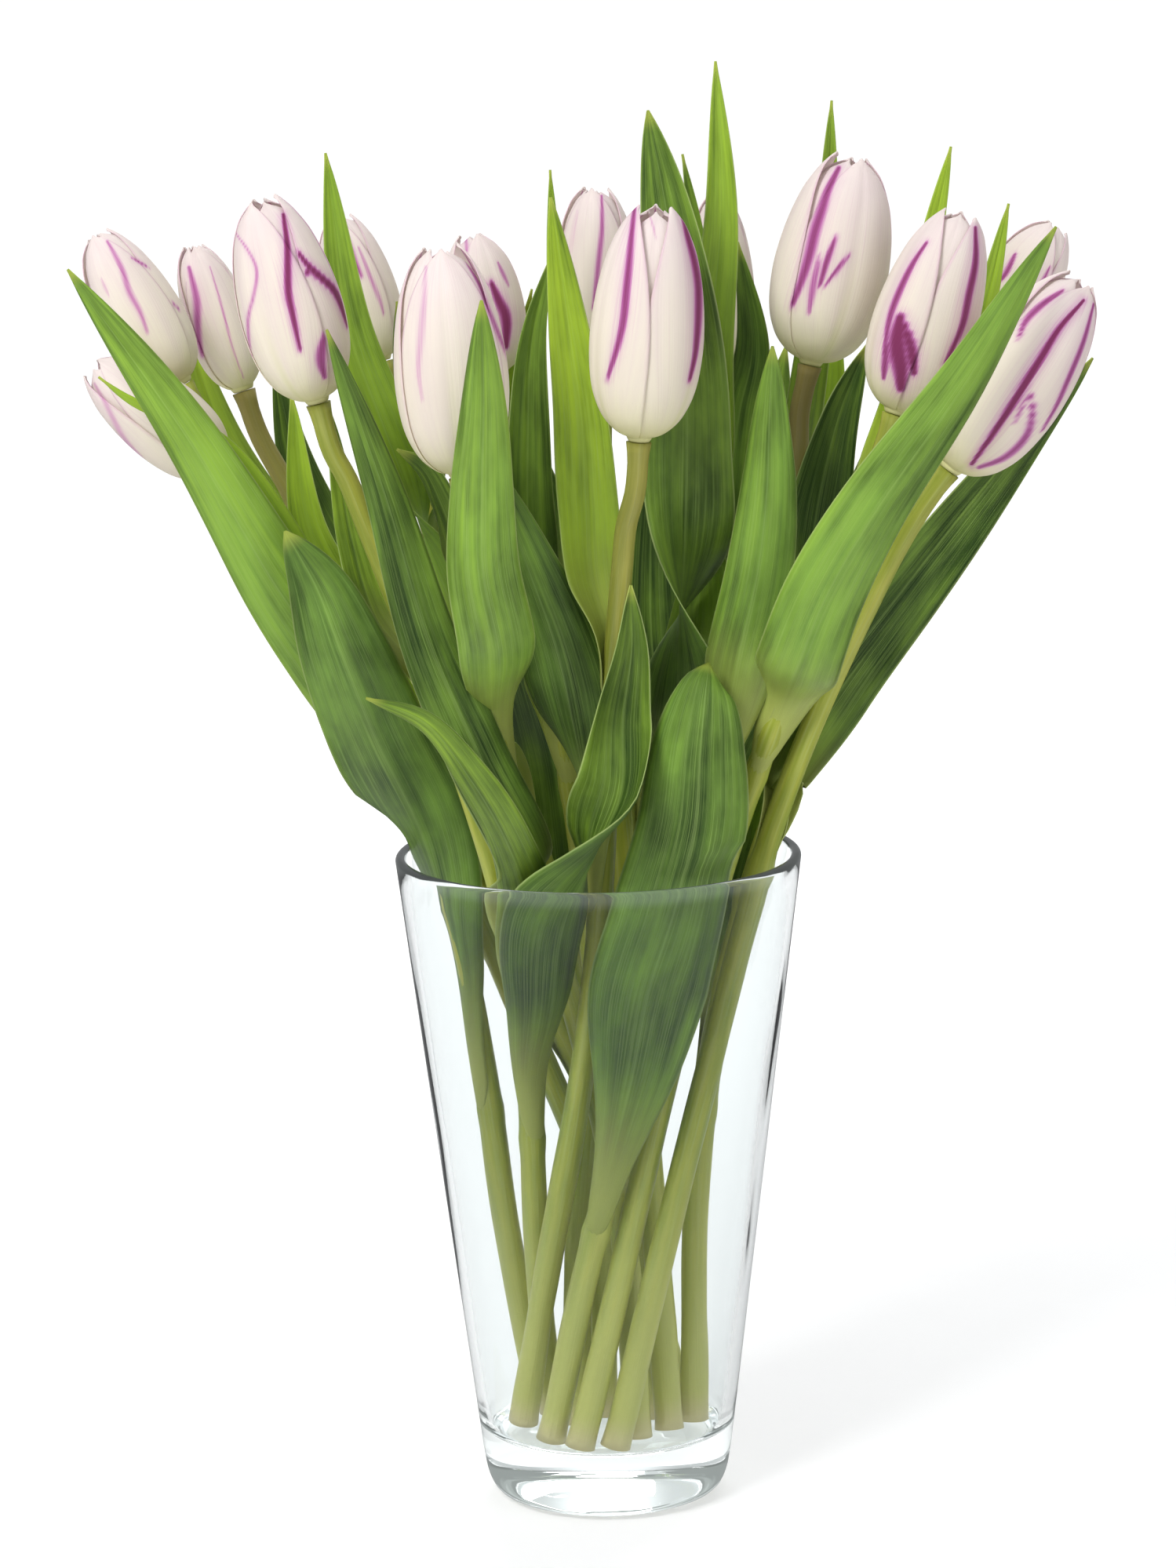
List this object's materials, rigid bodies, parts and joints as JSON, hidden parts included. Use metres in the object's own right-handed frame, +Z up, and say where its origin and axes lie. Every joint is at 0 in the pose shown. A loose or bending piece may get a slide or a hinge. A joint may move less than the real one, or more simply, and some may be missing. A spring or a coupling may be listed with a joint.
{
  "type": "tulips in a vase",
  "caption": "Loose bunch of pale striped tulips with long narrow leaves, standing in a clear glass vase that widens towards its rim.",
  "frame": {"origin": "centre of the flat foot of the vase, on the surface it stands on", "axes": "+Z up along the vase's axis, -Y towards the viewer of the picture (the front), +X to the viewer's right"},
  "size_m": [0.3013, 0.1986, 0.4364],
  "materials": {
    "glass": "clear, polished, faintly green in the thick base",
    "petal": "satin petal, cream white flushed pink with magenta and purple streaks",
    "leaf": "matte waxy leaf, mid to bluish green with fine lengthwise veins"
  },
  "bodies": {
    "root": {"vase": "glass", "bloom_far_left": "petal", "stem_far_left": "leaf", "bloom_low_left": "petal", "stem_low_left": "leaf", "bloom_back_left": "petal", "stem_back_left": "leaf", "bloom_left": "petal", "stem_left": "leaf", "bloom_back_mid_left": "petal", "stem_back_mid_left": "leaf", "bloom_front_left": "petal", "stem_front_left": "leaf", "bloom_mid_left": "petal", "stem_mid_left": "leaf", "bloom_back_mid": "petal", "stem_back_mid": "leaf", "bloom_front_mid": "petal", "stem_front_mid": "leaf", "bloom_back_mid_right": "petal", "stem_back_mid_right": "leaf", "bloom_right": "petal", "stem_right": "leaf", "bloom_right_front": "petal", "stem_right_front": "leaf", "bloom_far_right": "petal", "stem_far_right": "leaf", "bloom_low_right": "petal", "stem_low_right": "leaf"}
  },
  "joints": []
}
